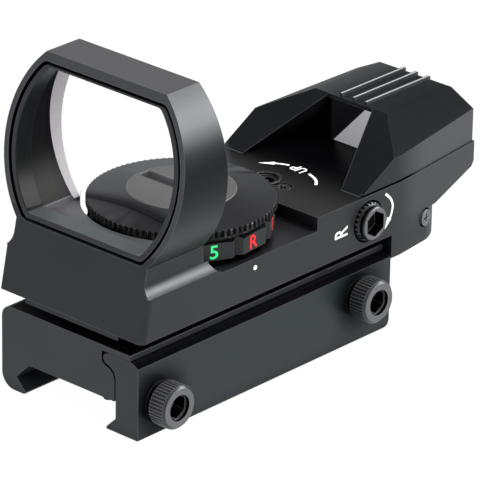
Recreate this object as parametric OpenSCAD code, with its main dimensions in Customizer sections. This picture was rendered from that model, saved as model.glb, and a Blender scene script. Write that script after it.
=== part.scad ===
// Reflex red dot sight with a rail clamp. Millimetres, +Z up.
// X runs across the rail, the clamp plate is on +X. Y runs rearward, the window is at the front.
// Origin: rail centre line, on the slot ceiling, in the plane of the mount's front face.

/* [Rail and clamp] */
// Widest part of the dovetail rail the slot takes
rail_w = 21.2; // [20.6:0.05:22]
// Depth of the rail's widest line under its top face
rail_apex_drop = 2.77; // [2.4:0.01:3.2]
// Length of the mount along the rail
mount_len = 58; // [50:0.5:70]
// Outer face of the fixed jaw, from the rail centre line
mount_left = 13.7; // [12.8:0.02:15]
// Height of the mount's top face above the rail seat
mount_top = 8.71; // [8:0.05:10]
// Outer face of the clamp plate, from the rail centre line
clamp_out = 15.3; // [14.5:0.05:17]
// Bottom of the jaws below the rail seat
jaw_drop = 5.25; // [4.8:0.05:6]
// Shank radius of the clamp screws
clamp_screw_r = 2; // [1.5:0.05:2.4]
// Knurl radius of the clamp screws
clamp_knurl_r = 3.6; // [3:0.05:4.2]

/* [Body] */
// Half width of the body
body_half = 15.05; // [14:0.05:17]
// Rear end of the body
body_rear = 81.2; // [76:0.1:90]
// Underside of the body
body_bottom = 10.5; // [10:0.05:12]
// Top face of the rear deck
deck_z = 19.15; // [18.5:0.05:21]
// Floor of the dial pocket
pocket_z = 16.9; // [16:0.05:18]
// Backward lean of the front face, millimetres per millimetre of height
rake = 0.204; // [0.1:0.002:0.3]
// Front face of the body at its underside
front_y = 0.95; // [0:0.05:3]

/* [Window] */
// Height of the window centre
win_z = 34.6; // [32:0.1:38]
// Outer radius of the window frame
ring_r = 18.6; // [17:0.05:20]
// Flat top of the window frame
ring_top = 48.4; // [46:0.05:50]
// Rear face of the window frame
ring_rear = 15.75; // [14:0.05:18]
// Radius of the frame's bore
bore_r = 17.65; // [16:0.05:18]
// Radius of the visible opening
open_r = 16.2; // [15:0.05:17.2]
// Thickness of the lens at its middle
lens_t = 2.65; // [2:0.05:4]

/* [Dial and battery] */
// Dial centre behind the mount's front face
dial_y = 25.6; // [24:0.1:28]
// Outer radius of the dial's flange
dial_r = 14.85; // [13:0.05:15.2]
// Rim height of the dial
dial_rim_z = 23.04; // [22:0.02:24]
// Top of the battery cap
cap_top_z = 24.5; // [24:0.05:26]
// Radius of the battery cap
cap_r = 8.65; // [8.3:0.05:9.5]
// Number of brightness positions
positions = 12; // [8:1:14]

/* [Hood] */
// Top face of the hood
hood_top = 27.15; // [26:0.05:30]
// Front foot of the hood
hood_front = 51.1; // [50:0.1:56]
// Half width of the hood's flat top
hood_top_half = 7.6; // [6:0.1:9]

/* [Part] */
// Piece to draw

/* [Hidden] */
$fn = 96;
// Clearance between a turning piece and its hole
run = 0.05;
// Overlap used when one shape cuts another
eps = 0.2;
apex_x = rail_w / 2;
seat_half = apex_x - rail_apex_drop;
hook_x = apex_x - (jaw_drop - 0.4 - rail_apex_drop);
// Clamp screw axes
front_screw = [4.85, 0.3];
rear_screw = [50.7, 2.7];
clamp_face_x = clamp_out + 4.1;
// Pivot of the sight body on the mount
pivot_y = 8;
pitch_z = 13.2;
yoke_half = 5;
yoke_top = 14.8;
// Adjuster axes
wind_y = 52.65;
wind_z = 14.75;
elev_x = -1.1;
elev_y = 46.3;
stud_x = -7.2;
stud_y = 45.4;
stud_r = 0.8;
stud_head_r = 2.25;
// Sideways room round the shank, for the swing of the body at full windage
stud_room = 0.8;
lock_x = 2.95;
lock_y = 45.85;
// Post on the mount that the windage plunger pushes on
post_half = 3;
post_y0 = 50.2;
post_y1 = 55.2;
post_top = 16.6;
// Side taper of the body's rear end
taper_y = 60.5;
taper_half = 12.6;
foot_y0 = 58.45;
foot_y1 = 74.7;
foot_z = 6.5;
// Round rear corners of the foot, all but tangent to the tapered sides
foot_r = 9;
taper = (body_half - taper_half) / (body_rear - taper_y);
foot_cy = foot_y1 - foot_r;
foot_cx = body_half - taper * (foot_cy - taper_y) - foot_r * sqrt(1 + taper * taper) + 0.05;
// Front end of the body's rising underside
belly_y = 70.3;
// Electronics bay under the dial
bay_half = 9;
bay_y0 = 18.6;
bay_y1 = 33.8;
bay_top = 15.3;
cover_top = 11.4;
cover_bottom = 9.6;
hub_r = 5;
dial_bottom = 18;
flange_z = 21.85;
// Turn of the grip pads from the detent positions
pad_turn = 5.5;
pad_top = 21;
clear_r = 15.66;
pocket_y0 = ring_rear + 0.75;
pocket_y1 = 40.5;
pocket_r = 3;
clear_top = cap_top_z + 0.4;
// Front face of the lens, and the backward lean of its rear face
lens_y = 14.55;
lens_lean = 0.105;
// Neck under the window frame, and the cove that leads out to the body's sides
neck_half = 13.8;
cove_z = 20;
cove_r = 2.93;
// Radii of the lower front corners, left and right
corner_r = [0.4, 1];
battery_r = 8;
battery_z = 18.95;
battery_t = 3.2;
wire_x = -11.6;
wire_z = 12;
wire_y0 = 31;
wire_y1 = 70;
emit_half = 4.6;
emit_y0 = 66;
emit_y1 = 78;
emit_top = 26.3;
led_y = 72;
led_z = 22;
led_tilt = 12;
// Slope of the hood's front above the deck, and where that slope meets the top
hood_slope = 29.6;
hood_lip_y = hood_front + (hood_top - deck_z) / tan(hood_slope);
hood_screws = [[12.4, 60.8], [-12.4, 60.8], [11.4, 76.2], [-11.4, 76.2]];
cover_screws = [[7.4, 16.9], [-7.4, 16.9], [7.4, 35.9], [-7.4, 35.9]];
head_z = 14.4;

// ---- helpers -------------------------------------------------------------

// Extrudes an XZ outline along +Y from y0 to y1
module along_y(y0, y1) {
  translate([0, y1, 0]) rotate([90, 0, 0]) linear_extrude(y1 - y0) children();
}

// Extrudes a YZ outline along +X from x0 to x1
module along_x(x0, x1) {
  translate([x0, 0, 0]) rotate([90, 0, 90]) linear_extrude(x1 - x0) children();
}

// Cylinder along +X
module rod_x(x0, x1, y, z, r) {
  translate([x0, y, z]) rotate([0, 90, 0]) cylinder(h = x1 - x0, r = r);
}

// Cylinder along +Z
module rod_z(x, y, z0, z1, r) {
  translate([x, y, z0]) cylinder(h = z1 - z0, r = r);
}

// Everything between two planes that lean back by slope k
module leaning_slab(k, y0, z0, t) {
  translate([0, y0, z0]) rotate([-atan(k), 0, 0])
    translate([-60, 0, -60]) cube([120, t * cos(atan(k)), 120]);
}

// Corner waste of a rounded convex corner, material in the quadrant sx, sy
module corner(x, y, sx, sy, r) {
  translate([x, y]) scale([sx, sy]) difference() {
    translate([-eps, -eps]) square(r + eps);
    translate([r, r]) circle(r);
  }
}

// Circle cut flat at z0 and z1 with rounded corners, centred on the window
module flat_disc(r, z0, z1, f) {
  up = z1 - f - win_z;
  dn = win_z - z0 - f;
  cu = sqrt((r - f) * (r - f) - up * up);
  cd = sqrt((r - f) * (r - f) - dn * dn);
  intersection() {
    translate([0, win_z]) circle(r);
    translate([-r, win_z - dn * r / (r - f)]) square([2 * r, (up + dn) * r / (r - f)]);
  }
  for (s = [-1, 1]) {
    translate([s * cu, z1 - f]) circle(f);
    translate([s * cd, z0 + f]) circle(f);
  }
  translate([-cu, win_z]) square([2 * cu, z1 - win_z]);
  translate([-cd, z0]) square([2 * cd, win_z - z0]);
}

// Regular hexagon given across its corners
module hexagon(r) {
  circle(r, $fn = 6);
}

// ---- mount ---------------------------------------------------------------

module mount_outline() {
  difference() {
    union() {
      // Main bar down to the rail seat
      translate([-mount_left, 0]) square([mount_left + 10.3, mount_top]);
      // Top flange over the clamp plate
      translate([0, mount_top - 0.95]) square([13.58, 0.95]);
      // Fixed jaw
      polygon([[-mount_left, 1], [-mount_left, -jaw_drop], [-hook_x - 0.6, -jaw_drop],
        [-hook_x - 0.25, 0.1 - jaw_drop], [-hook_x - 0.1, 0.4 - jaw_drop],
        [-hook_x - 0.3, 0.7 - jaw_drop], [-apex_x, -rail_apex_drop], [-seat_half, 0],
        [-seat_half, 1]]);
      // Small ridge beside the seat
      polygon([[7.5, 0.3], [8.2, -0.28], [8.8, -0.28], [10.3, 0.3]]);
    }
    corner(-mount_left, mount_top, 1, -1, 2);
    corner(-mount_left, -jaw_drop, 1, 1, 2.6);
    // Groove that takes the clamp plate's bead
    polygon([[7.6, mount_top - 0.95], [7.6, 6.1], [8.1, 5.55], [9.4, 5.1], [10, 4.5],
      [10.32, 3.6], [11, 3.6], [11, mount_top - 0.95]]);
  }
}

module clamp_screw_hole(yz, x0, x1) {
  rod_x(x0, x1, yz[0], yz[1], clamp_screw_r + run);
}

module mount_base() color([0.25, 0.25, 0.27]) {
  difference() {
    along_y(0, mount_len) mount_outline();
    for (s = [front_screw, rear_screw]) clamp_screw_hole(s, -12.2, 14);
    // Yaw pin hole
    rod_z(0, pivot_y, 3, mount_top + eps, 2);
    // Hold-down stud hole
    rod_z(stud_x, stud_y, 3, mount_top + eps, stud_r);
  }
  // Windage post
  translate([-post_half, post_y0, mount_top - eps])
    cube([2 * post_half, post_y1 - post_y0, post_top - mount_top + eps]);
}

module clamp_outline() {
  difference() {
    polygon([[clamp_out, 7], [13.7, 7.66], [9.1, 7.66], [8.4, 7.45], [8, 7], [8, 6.4], [8.4, 5.95],
      [9.6, 5.5], [10.3, 4.85], [apex_x, 3.8], [apex_x, -rail_apex_drop],
      [hook_x + 0.3, 0.7 - jaw_drop], [hook_x + 0.1, 0.4 - jaw_drop],
      [hook_x + 0.25, 0.1 - jaw_drop], [hook_x + 0.6, -jaw_drop], [clamp_out, -jaw_drop]]);
    corner(clamp_out, -jaw_drop, -1, 1, 0.5);
  }
}

module clamp_plate() color([0.27, 0.29, 0.31]) {
  difference() {
    along_y(0, mount_len) clamp_outline();
    for (s = [front_screw, rear_screw]) clamp_screw_hole(s, 5, 16);
    // Rounded corners, seen from the side
    along_x(5, 16) {
      for (s = [0, 1]) corner(s * mount_len, -jaw_drop, 1 - 2 * s, 1, 0.4 + 1.2 * s);
      corner(mount_len, 7.66, -1, -1, 0.8);
    }
  }
}

// Socket head clamp screw with a straight knurl, head on +X
module clamp_screw(yz) {
  translate([0, yz[0], yz[1]]) rotate([0, 90, 0]) difference() {
    union() {
      translate([0, 0, -9.5]) cylinder(h = clamp_out + 10, r = clamp_screw_r);
      translate([0, 0, clamp_out + run]) cylinder(h = 1.2, r = clamp_knurl_r - 0.3);
      translate([0, 0, clamp_out + 1]) cylinder(h = 2.6, r = clamp_knurl_r);
      translate([0, 0, clamp_out + 3.6])
        cylinder(h = clamp_face_x - clamp_out - 3.6, r1 = clamp_knurl_r, r2 = 3.15);
    }
    translate([0, 0, clamp_face_x - 0.7]) cylinder(h = 1, r = 2.15);
    translate([0, 0, clamp_face_x - 3]) linear_extrude(3) hexagon(2.05);
    for (a = [0 : 9 : 359]) rotate([0, 0, a])
      translate([clamp_knurl_r + 0.07, 0, clamp_out + 0.9]) cylinder(h = 2.8, r = 0.24, $fn = 6);
  }
}

module clamp_screw_front() color([0.2, 0.2, 0.21]) clamp_screw(front_screw);
module clamp_screw_rear() color([0.2, 0.2, 0.21]) clamp_screw(rear_screw);

module yaw_pin() color([0.6, 0.6, 0.62]) rod_z(0, pivot_y, 3.05, 11.2, 2);

// Shouldered stud that holds the rear of the body down through a spring
module hold_down_screw() color([0.6, 0.6, 0.62]) {
  difference() {
    union() {
      rod_z(stud_x, stud_y, 3.05, 17, stud_r);
      rod_z(stud_x, stud_y, 16.4, 17.4, stud_head_r);
    }
    translate([stud_x - 3, stud_y - 0.3, 17]) cube([6, 0.6, 1]);
  }
}

// Coil drawn as one folded tube: h tall, between r_in and r_out
module coil(h, r_in, r_out, turns, wire) {
  p = h / turns;
  rotate_extrude() for (i = [0 : turns - 1]) {
    polygon([[r_in, i * p], [r_in + wire, i * p], [r_out, (i + 0.5) * p],
      [r_in + wire, (i + 1) * p], [r_in, (i + 1) * p], [r_out - wire, (i + 0.5) * p]]);
  }
}

module hold_down_spring() color([0.7, 0.7, 0.72])
  translate([stud_x, stud_y, 12.3]) coil(4.05, stud_r + stud_room, stud_head_r, 4, 0.26);

// ---- pivot ---------------------------------------------------------------

module pivot_yoke() color([0.35, 0.35, 0.37]) {
  difference() {
    translate([-yoke_half, pivot_y - 3.4, mount_top + run])
      cube([2 * yoke_half, 6.8, yoke_top - mount_top - run]);
    rod_z(0, pivot_y, mount_top - eps, 11.3, 2 + run);
    rod_x(-yoke_half - 1, yoke_half + 1, pivot_y, pitch_z, 1.5);
  }
}

module pitch_pin() color([0.6, 0.6, 0.62]) rod_x(-13.8, 12.2, pivot_y, pitch_z, 1.5);

// ---- housing -------------------------------------------------------------

// Plan outline shared by the body and the hood, inset by d
module body_plan(d) {
  polygon([[-body_half + d, -1], [body_half - d, -1], [body_half - d, taper_y],
    [taper_half - d, body_rear - d], [-taper_half + d, body_rear - d],
    [-body_half + d, taper_y]]);
}

// Side outline of the rear body
module body_side() {
  polygon([[10, body_bottom], [taper_y, body_bottom], [taper_y, 12], [belly_y, 12],
    [body_rear - 0.6, 14.9], [body_rear, 15.7], [body_rear, deck_z], [10, deck_z]]);
}

// Cross outline of the window frame and its neck
module front_outline() {
  translate([-body_half, body_bottom]) square([2 * body_half, 22 - body_bottom]);
  intersection() {
    translate([0, win_z]) circle(ring_r);
    translate([-ring_r, 21.9]) square([2 * ring_r, ring_top - 21.9]);
  }
}

module bore_outline() {
  flat_disc(bore_r, 22.05, 46.9, 1.6);
}

// Side outline of the dial pocket, rounded at its front lower corner
module pocket_outline() {
  translate([pocket_y0 + pocket_r, pocket_z]) square([pocket_y1 - pocket_y0 - pocket_r, 12]);
  translate([pocket_y0, pocket_z + pocket_r]) square([10, 12]);
  translate([pocket_y0 + pocket_r, pocket_z + pocket_r]) circle(pocket_r);
}

module housing_solid() {
  // Front frame and neck
  intersection() {
    along_y(0, ring_rear) front_outline();
    leaning_slab(rake, front_y, body_bottom, 60);
  }
  // Rear body with the deck
  intersection() {
    along_x(-20, 20) body_side();
    linear_extrude(40) body_plan(0);
  }
  // Foot behind the mount
  translate([0, 0, foot_z]) linear_extrude(12.2 - foot_z) difference() {
    intersection() {
      body_plan(0);
      translate([-body_half, foot_y0]) square([2 * body_half, foot_y1 - foot_y0]);
    }
    for (m = [0, 1]) mirror([m, 0]) difference() {
      translate([foot_cx, foot_cy + foot_r * sin(atan(taper))]) square(20);
      translate([foot_cx, foot_cy]) circle(foot_r);
    }
  }
  // Shallow tongue under the front of the body
  translate([-9.8, front_y + 0.3, 9.6]) cube([19.6, 13.2, 1.2]);
}

module housing_cuts() {
  // Grooves along the neck, and rounded front corners below them
  for (s = [-1, 1]) {
    along_y(-1, pocket_y0 + 3) {
      translate([s * (neck_half + cove_r), cove_z]) circle(cove_r);
      translate([s * (neck_half + 5) - 5, cove_z]) square([10, 22 - cove_z]);
    }
    translate([0, front_y, body_bottom]) rotate([-atan(rake), 0, 0]) translate([0, 0, -2])
      linear_extrude(9.2) corner(s * body_half, 0, -s, 1, corner_r[(s + 1) / 2]);
  }
  // Frame bore, open front to rear above the dial
  along_y(-5, 30) bore_outline();
  // Dial pocket and the round clearance that reaches under the window
  along_x(-20, 20) pocket_outline();
  rod_z(0, dial_y, pocket_z, clear_top, clear_r);
  // Hub bore, electronics bay and cover recess
  rod_z(0, dial_y, 10, pocket_z + eps, hub_r + run);
  translate([-bay_half, bay_y0, 9]) cube([2 * bay_half, bay_y1 - bay_y0, bay_top - 9]);
  translate([-9.85, 15.15, 9]) cube([19.7, 22.3, cover_top - 9]);
  for (s = cover_screws) rod_z(s[0], s[1], 11, 14.4, 0.8);
  // Detent bore
  rod_z(0, dial_y + 10.6, 15.4, pocket_z + eps, 0.8);
  // Yoke cavity and pitch pin bore
  translate([-yoke_half - 0.1, pivot_y - 4.2, 9]) cube([2 * yoke_half + 0.2, 8.4, 6.5]);
  rod_x(-16, 12.5, pivot_y, pitch_z, 1.5 + run);
  // Post cavity, with room for the windage spring
  translate([-9, post_y0 - 0.6, 9]) cube([14, post_y1 - post_y0 + 1.3, 9]);
  // Windage bores
  rod_x(4, 10.2, wind_y, wind_z, 2 + run);
  rod_x(10, 13, wind_y, wind_z, 1.6 + run);
  rod_x(12.6, 16, wind_y, wind_z, 3.55);
  // Elevation bores
  rod_z(elev_x, elev_y, 9, 14.2, 1.7 + run);
  rod_z(elev_x, elev_y, 14, 18.2, 1.4 + run);
  rod_z(elev_x, elev_y, 17.6, 20, 2.75);
  // Hold-down stud: shank hole, head room
  rod_z(stud_x, stud_y, 9, 13, stud_r + stud_room);
  rod_z(stud_x, stud_y, 12.3, 18.4, 3.1);
  // Lock screw holes
  rod_z(lock_x, lock_y, 14, 20, 0.9 + run);
  rod_z(lock_x, lock_y, 18.3, 20, 1.45);
  windage_lock_axis() {
    translate([0, 0, -6]) cylinder(h = 9, r = 1 + run);
    translate([0, 0, -1.6]) cylinder(h = 5, r = 1.65);
  }
  // Hood screw holes
  for (s = hood_screws) {
    rod_z(s[0], s[1], 6, 20, 0.8);
    rod_z(s[0], s[1], 6, head_z + 1.3, 1.6);
  }
  wire_path(0.85);
}

module windage_lock_axis() {
  translate([14.9, 67.6, 10.5]) rotate([0, 0, 12]) rotate([0, 90, 0])
    translate([0, 0, -0.5]) children();
}

// Wire run from the electronics bay to the emitter
module wire_path(r) {
  translate([wire_x, wire_y0, wire_z]) rotate([-90, 0, 0]) cylinder(h = wire_y1 - wire_y0, r = r);
  rod_x(wire_x, 0.1 - bay_half, wire_y0, wire_z, r);
  rod_x(wire_x, -3, wire_y1, wire_z, r);
  rod_z(-3, wire_y1, wire_z, deck_z + eps, r);
  for (p = [[wire_x, wire_y0], [wire_x, wire_y1], [-3, wire_y1]])
    translate([p[0], p[1], wire_z]) sphere(r);
}

module housing() color([0.25, 0.25, 0.27]) difference() {
  housing_solid();
  housing_cuts();
}

// ---- window --------------------------------------------------------------

// Ring of the bezel whose outside is inset by d, between t0 and t1 behind the front face
module bezel_ring(d, t0, t1) intersection() {
  along_y(0, 20) difference() {
    flat_disc(bore_r - d, 22.05 + d, 46.9 - d, 1.6);
    flat_disc(open_r, 23.4, 46, 1.4);
  }
  leaning_slab(rake, front_y + t0, body_bottom, t1 - t0);
}

module lens_bezel() color([0.2, 0.2, 0.22]) {
  bezel_ring(0.5, 0.1, 2.1);
  bezel_ring(run, 2, 3.6);
}

module lens() color([0.8, 0.85, 0.9, 0.3]) difference() {
  intersection() {
    along_y(8, 24) flat_disc(bore_r - run, 22.05 + run, 46.9 - run, 1.6);
    leaning_slab(0, lens_y, win_z, 12);
    leaning_slab(lens_lean, lens_y + lens_t - 12, win_z, 12);
  }
  // Clearance over the dial, following its cone
  rod_z(0, dial_y, 20, 23.32, clear_r);
  translate([0, dial_y, 23.3]) cylinder(h = 1.55, r1 = 15.1, r2 = 9.3);
  rod_z(0, dial_y, 23, clear_top, 9.3);
}

// ---- hood ----------------------------------------------------------------

module hood_outline() {
  inner = body_half - 0.8;
  gap_z = deck_z + 0.28;
  polygon([[-inner, deck_z], [inner, deck_z], [inner, gap_z], [body_half, gap_z],
    [body_half, 23.4], [hood_top_half, hood_top], [-hood_top_half, hood_top],
    [-body_half, 23.4], [-body_half, gap_z], [-inner, gap_z]]);
}

// Cavity outline up to height z, its walls leaning in from the deck
module hood_cavity(z) {
  top_half = 10.5 - (z - deck_z) * 0.74;
  polygon([[-10.5, deck_z - 1], [10.5, deck_z - 1], [10.5, deck_z], [top_half, z],
    [-top_half, z], [-10.5, deck_z]]);
}

module hood() color([0.2, 0.2, 0.22]) {
  difference() {
    intersection() {
      along_y(hood_front, body_rear) hood_outline();
      linear_extrude(60) body_plan(0.25);
      // Sloping front
      translate([-30, hood_front, deck_z]) rotate([hood_slope, 0, 0]) translate([0, 0, -60])
        cube([60, 60, 60]);
    }
    along_y(hood_front - 5, 79.2) hood_cavity(hood_top - 0.75);
    along_y(hood_front - 5, hood_lip_y) hood_cavity(hood_top + 1);
    for (s = hood_screws) rod_z(s[0], s[1], deck_z - 1, 21.4, 0.8);
  }
  // Three fine ribs along the top
  for (x = [-2.6, 0, 2.6]) translate([x - 0.3, 65.8, hood_top - 0.1])
    cube([0.6, body_rear - 65.7, 0.5]);
}

module hood_screw() color([0.35, 0.35, 0.36]) for (s = hood_screws) difference() {
  union() {
    rod_z(s[0], s[1], head_z, 21.3, 0.8);
    rod_z(s[0], s[1], head_z, head_z + 1.3, 1.5);
  }
  translate([s[0], s[1], head_z - 0.1]) linear_extrude(0.9) hexagon(0.8);
}

// ---- electronics bay -----------------------------------------------------

module bottom_cover() color([0.22, 0.22, 0.24]) difference() {
  translate([-9.8, 15.2, cover_bottom]) cube([19.6, 22.2, cover_top - cover_bottom - run]);
  for (s = cover_screws) {
    rod_z(s[0], s[1], 9, 12, 0.8);
    rod_z(s[0], s[1], 9, 10.4, 1.5);
  }
}

module cover_screw() color([0.5, 0.5, 0.52]) for (s = cover_screws) difference() {
  union() {
    rod_z(s[0], s[1], 9.65, 14.2, 0.8);
    rod_z(s[0], s[1], 9.65, 10.4, 1.45);
  }
  translate([s[0] - 2, s[1] - 0.2, 9.5]) cube([4, 0.4, 0.5]);
}

module switch_board() color([0.1, 0.35, 0.2])
  translate([0.2 - bay_half, bay_y0 + 0.2, cover_top])
    cube([2 * bay_half - 0.4, bay_y1 - bay_y0 - 0.4, 1]);

// ---- dial ----------------------------------------------------------------

module dial() color([0.27, 0.27, 0.28]) translate([0, dial_y, 0]) {
  difference() {
    union() {
      // Flange and conical top
      translate([0, 0, flange_z]) cylinder(h = dial_rim_z - flange_z, r = dial_r);
      translate([0, 0, dial_rim_z]) cylinder(h = cap_top_z - 0.1 - dial_rim_z, r1 = dial_r - 0.15,
        r2 = cap_r + 0.35);
      // Skirt and hub
      translate([0, 0, pad_top - eps]) cylinder(h = 22.5 - pad_top, r = 13.7);
      translate([0, 0, dial_bottom]) cylinder(h = pad_top - dial_bottom, r = 13.3);
      translate([0, 0, 13.5]) cylinder(h = dial_bottom - 13.4, r = hub_r);
      // One grip pad for each position
      intersection() {
        union() {
          translate([0, 0, dial_bottom]) cylinder(h = 2.5, r = 14.6);
          translate([0, 0, dial_bottom + 2.5]) cylinder(h = pad_top - dial_bottom - 2.5, r1 = 14.6,
            r2 = 14);
        }
        for (i = [0 : positions - 1]) rotate([0, 0, i * 360 / positions + pad_turn])
          translate([0, 0, dial_bottom]) linear_extrude(pad_top - dial_bottom)
            polygon([[10, -3.55], [13.35, -3.55], [14.25, -2.8], [14.25, 2.8], [13.35, 3.55],
              [10, 3.55]]);
      }
    }
    // Battery cup and cap seat
    translate([0, 0, battery_z - run]) cylinder(h = 6, r = battery_r + 0.1);
    translate([0, 0, 22.3]) cylinder(h = 3, r = cap_r + run);
    // Hub bore and clip groove
    translate([0, 0, 13]) cylinder(h = 7, r = 2.4);
    difference() {
      translate([0, 0, 14.3]) cylinder(h = 0.8, r = hub_r + 1);
      translate([0, 0, 14.2]) cylinder(h = 1, r = 4.2);
    }
    // Fine notches round the rim
    for (a = [0 : 4 : 359]) rotate([0, 0, a + 2])
      translate([dial_r + 0.1, 0, flange_z - 0.3]) cylinder(h = 1.7, r = 0.4, $fn = 6);
    // Detent dimples
    for (i = [0 : positions - 1]) rotate([0, 0, 90 + i * 360 / positions])
      translate([10.6, 0, dial_bottom - 0.35]) sphere(0.8);
  }
}

module dial_clip() color([0.65, 0.65, 0.67]) translate([0, dial_y, 14.35]) difference() {
  cylinder(h = 0.7, r = 6.4);
  translate([0, 0, -1]) cylinder(h = 3, r = 4.2);
  translate([-2, -8, -1]) cube([4, 6, 3]);
}

module contact_spring() color([0.75, 0.7, 0.5]) translate([0, dial_y, cover_top + 1.05])
  coil(battery_z - cover_top - 1.1, 0.9, 2, 6, 0.35);

module battery() color([0.75, 0.75, 0.77]) {
  rod_z(0, dial_y, battery_z, battery_z + battery_t - 0.35, battery_r);
  rod_z(0, dial_y, battery_z + battery_t - 0.45, battery_z + battery_t, battery_r - 0.9);
}

module battery_cap() color([0.3, 0.3, 0.31]) difference() {
  rod_z(0, dial_y, 22.32, cap_top_z, cap_r);
  translate([-8, dial_y - 1.15, cap_top_z - 1.1]) cube([16, 2.3, 2]);
}

module detent_ball() color([0.8, 0.8, 0.82])
  translate([0, dial_y + 10.6, dial_bottom - 0.4]) sphere(0.72);

module detent_spring() color([0.7, 0.7, 0.72])
  translate([0, dial_y + 10.6, 15.42]) coil(1.3, 0.2, 0.7, 3, 0.2);

// ---- adjusters -----------------------------------------------------------

// Knurled captive screw, axis +Z, deck or side surface at z = 0
module adjuster_head(r, r_face, rise, notches) {
  difference() {
    union() {
      translate([0, 0, -2.3]) cylinder(h = 2.3 + rise * 0.15, r = r);
      translate([0, 0, rise * 0.15]) cylinder(h = rise * 0.25, r1 = r, r2 = r_face + 0.1);
      translate([0, 0, rise * 0.4]) cylinder(h = rise * 0.45, r = r_face + 0.1);
      translate([0, 0, rise * 0.85]) cylinder(h = rise * 0.15, r1 = r_face + 0.1, r2 = r_face - 0.15);
    }
    translate([0, 0, rise - 1.9]) linear_extrude(3) hexagon(r_face * 0.82);
    for (a = [0 : 360 / notches : 359]) rotate([0, 0, a])
      translate([r + 0.06, 0, -2.5]) cylinder(h = 3.4, r = 0.32, $fn = 6);
  }
}

module windage_screw() color([0.2, 0.2, 0.21]) translate([0, wind_y, wind_z]) rotate([0, 90, 0]) {
  translate([0, 0, body_half]) adjuster_head(3.24, 2.72, 1.5, 24);
  translate([0, 0, 10.05]) cylinder(h = 2.9, r = 1.6);
}

module windage_plunger() color([0.6, 0.6, 0.62]) {
  rod_x(post_half + 0.9, 9.2, wind_y, wind_z, 2);
  rod_x(post_half + 0.05, 4.5, wind_y, wind_z, 0.8);
}

module windage_spring() color([0.7, 0.7, 0.72])
  translate([-8.95, wind_y, 13]) rotate([0, 90, 0]) coil(5.9, 1.2, 2.1, 4, 0.3);

module elevation_screw() color([0.2, 0.2, 0.21]) translate([elev_x, elev_y, 0]) {
  difference() {
    translate([0, 0, 17.65]) cylinder(h = deck_z + 0.2 - 17.65, r = 2.6);
    translate([0, 0, deck_z - 1.1]) linear_extrude(2) hexagon(1.55);
    translate([0, 0, deck_z - 0.25]) cylinder(h = 1, r = 2.1);
  }
  translate([0, 0, 14.1]) cylinder(h = 3.6, r = 1.4);
}

module elevation_plunger() color([0.6, 0.6, 0.62]) {
  rod_z(elev_x, elev_y, mount_top + 0.9, 13.2, 1.7);
  rod_z(elev_x, elev_y, mount_top + 0.05, 10, 0.8);
}

module lock_head(r, h) {
  difference() {
    cylinder(h = h, r = r);
    translate([0, 0, h - 0.7]) linear_extrude(1) union() {
      square([0.4, 1.6], center = true);
      square([1.6, 0.4], center = true);
    }
  }
}

module elevation_lock() color([0.25, 0.25, 0.26]) translate([lock_x, lock_y, 0]) {
  translate([0, 0, 14.3]) cylinder(h = 4.1, r = 0.9);
  translate([0, 0, 18.35]) lock_head(1.25, 0.7);
}

module windage_lock() color([0.4, 0.4, 0.42]) windage_lock_axis() {
  translate([0, 0, -5.8]) cylinder(h = 4.4, r = 1);
  translate([0, 0, -1.5]) lock_head(1.35, 1.6);
}

// ---- emitter -------------------------------------------------------------

module emitter_axis() {
  translate([0, led_y, led_z]) rotate([90 - led_tilt, 0, 0]) children();
}

module emitter_block() color([0.12, 0.12, 0.13]) difference() {
  translate([-emit_half, emit_y0, deck_z + run]) cube([2 * emit_half, emit_y1 - emit_y0,
    emit_top - deck_z - run]);
  emitter_axis() {
    translate([0, 0, -3]) cylinder(h = 20, r = 1.5);
    translate([0, 0, 3]) cylinder(h = 20, r = 2.6);
  }
  rod_z(-3, wire_y1, deck_z - 1, 22, 0.85);
  translate([-3.5, wire_y1 - 0.4, 20.4]) cube([4, 9, 1.6]);
}

module emitter_window() color([0.6, 0.6, 0.65, 0.6])
  translate([-4.4, emit_y0 - 0.5, deck_z + 0.1]) cube([8.8, 0.45, emit_top - deck_z - 0.2]);

module reticle_disc() color([0.5, 0.3, 0.15])
  emitter_axis() translate([0, 0, 3.1]) difference() {
    cylinder(h = 0.4, r = 2.55);
    translate([0, 0, -1]) cylinder(h = 3, r = 0.3);
  }

module led() color([0.9, 0.3, 0.3]) emitter_axis() {
  translate([0, 0, -2.4]) cylinder(h = 2.6, r = 1.4);
  translate([0, 0, 0.2]) sphere(1.4);
}

module led_board() color([0.1, 0.35, 0.2])
  translate([-4.2, emit_y1 + 0.05, deck_z + 0.2]) cube([8.4, 0.9, 5.6]);

module led_wires() color([0.7, 0.15, 0.12]) difference() {
  wire_path(0.6);
  translate([-4.2, wire_y1 - 1, deck_z - 0.1]) cube([3, 3, 3]);
}

// ---- drawing -------------------------------------------------------------

mount_base();
clamp_plate();
clamp_screw_front();
clamp_screw_rear();
yaw_pin();
hold_down_screw();
hold_down_spring();
pivot_yoke();
pitch_pin();
housing();
lens_bezel();
lens();
hood();
hood_screw();
bottom_cover();
cover_screw();
switch_board();
dial();
dial_clip();
contact_spring();
battery();
battery_cap();
detent_ball();
detent_spring();
windage_screw();
windage_plunger();
windage_spring();
elevation_screw();
elevation_plunger();
elevation_lock();
windage_lock();
emitter_block();
emitter_window();
reticle_disc();
led();
led_board();
led_wires();
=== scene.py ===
import math

import bmesh
import bpy
from mathutils import Matrix, Vector


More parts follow.
